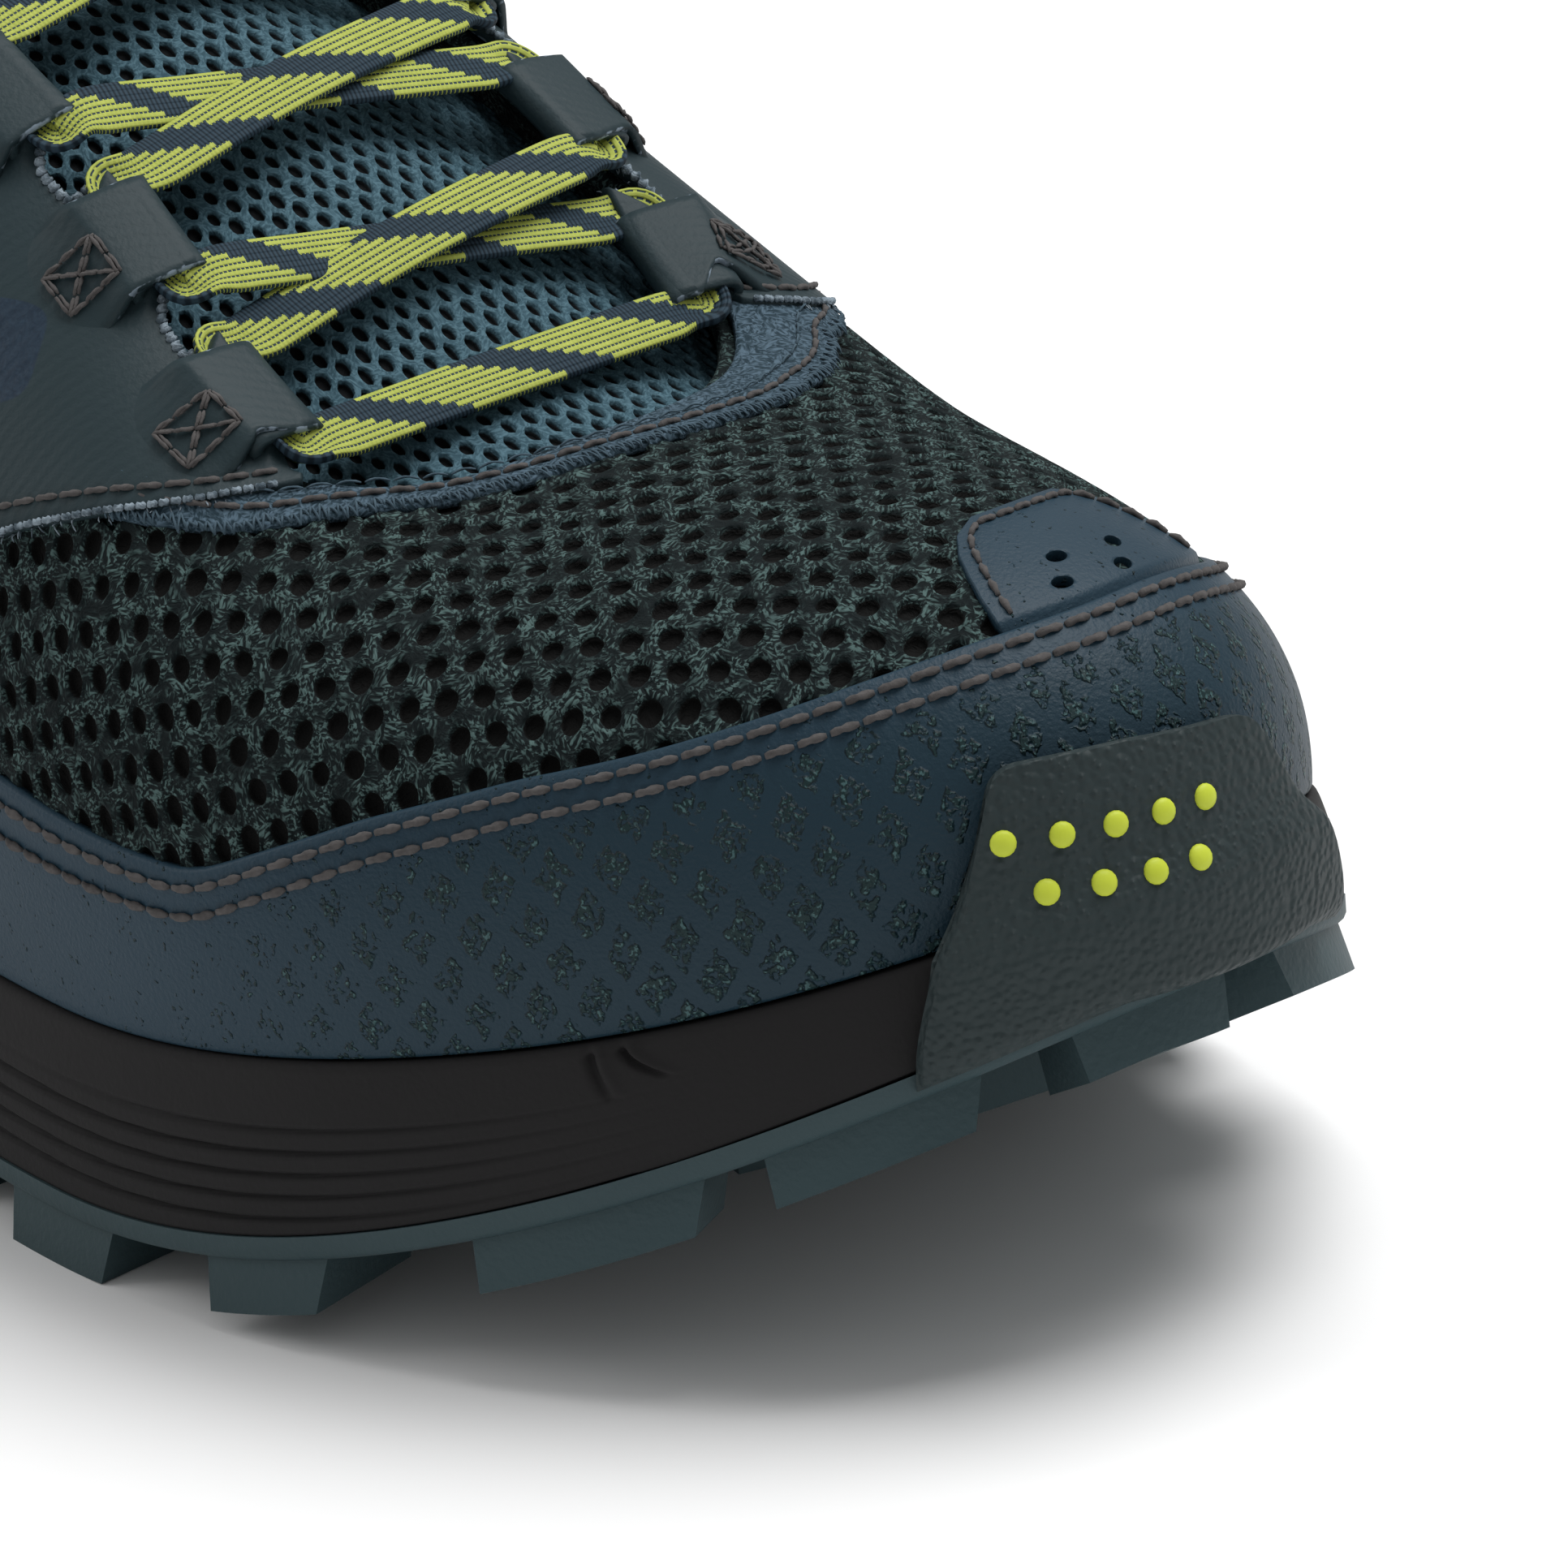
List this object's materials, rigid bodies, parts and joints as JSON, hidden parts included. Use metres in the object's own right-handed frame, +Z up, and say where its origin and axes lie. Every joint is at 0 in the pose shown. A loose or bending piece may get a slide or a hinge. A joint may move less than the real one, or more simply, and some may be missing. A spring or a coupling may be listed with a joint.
{
  "type": "trail running shoe",
  "caption": "Low-cut trail running shoe for the right foot with a knitted mesh upper, lugged rubber sole, toe bumper and flat laces through webbing loops.",
  "frame": {"origin": "middle of the shoe's box in plan, on the floor it stands on", "axes": "+X from heel to toe, +Y towards the inner side of the foot, +Z up"},
  "size_m": [0.2988, 0.1062, 0.1249],
  "materials": {
    "outsole_rubber": "matt blue-grey moulded rubber",
    "midsole_foam": "matt black foam",
    "insole_cloth": "dark cloth",
    "upper_mesh": "dark green-black knitted spacer mesh",
    "tongue_mesh": "blue-teal mesh",
    "rand_film": "slate blue welded film",
    "seam_thread": "blue-grey oversewn edge",
    "eyestay_synthetic": "dark green-grey ribbed synthetic",
    "lace_yarn": "lime and navy flat woven lace"
  },
  "bodies": {
    "root": {"outsole": "outsole_rubber", "midsole": "midsole_foam", "insole": "insole_cloth", "upper": "upper_mesh", "tongue": "tongue_mesh", "rand": "rand_film", "toe_patch": "rand_film", "heel_counter": "rand_film", "vamp_seam": "seam_thread", "eyestay_outer": "eyestay_synthetic", "eyestay_inner": "eyestay_synthetic", "lace_bar": "lace_yarn", "lace_cross_1": "lace_yarn", "lace_cross_2": "lace_yarn", "lace_cross_3": "lace_yarn", "lace_cross_4": "lace_yarn"}
  },
  "joints": []
}
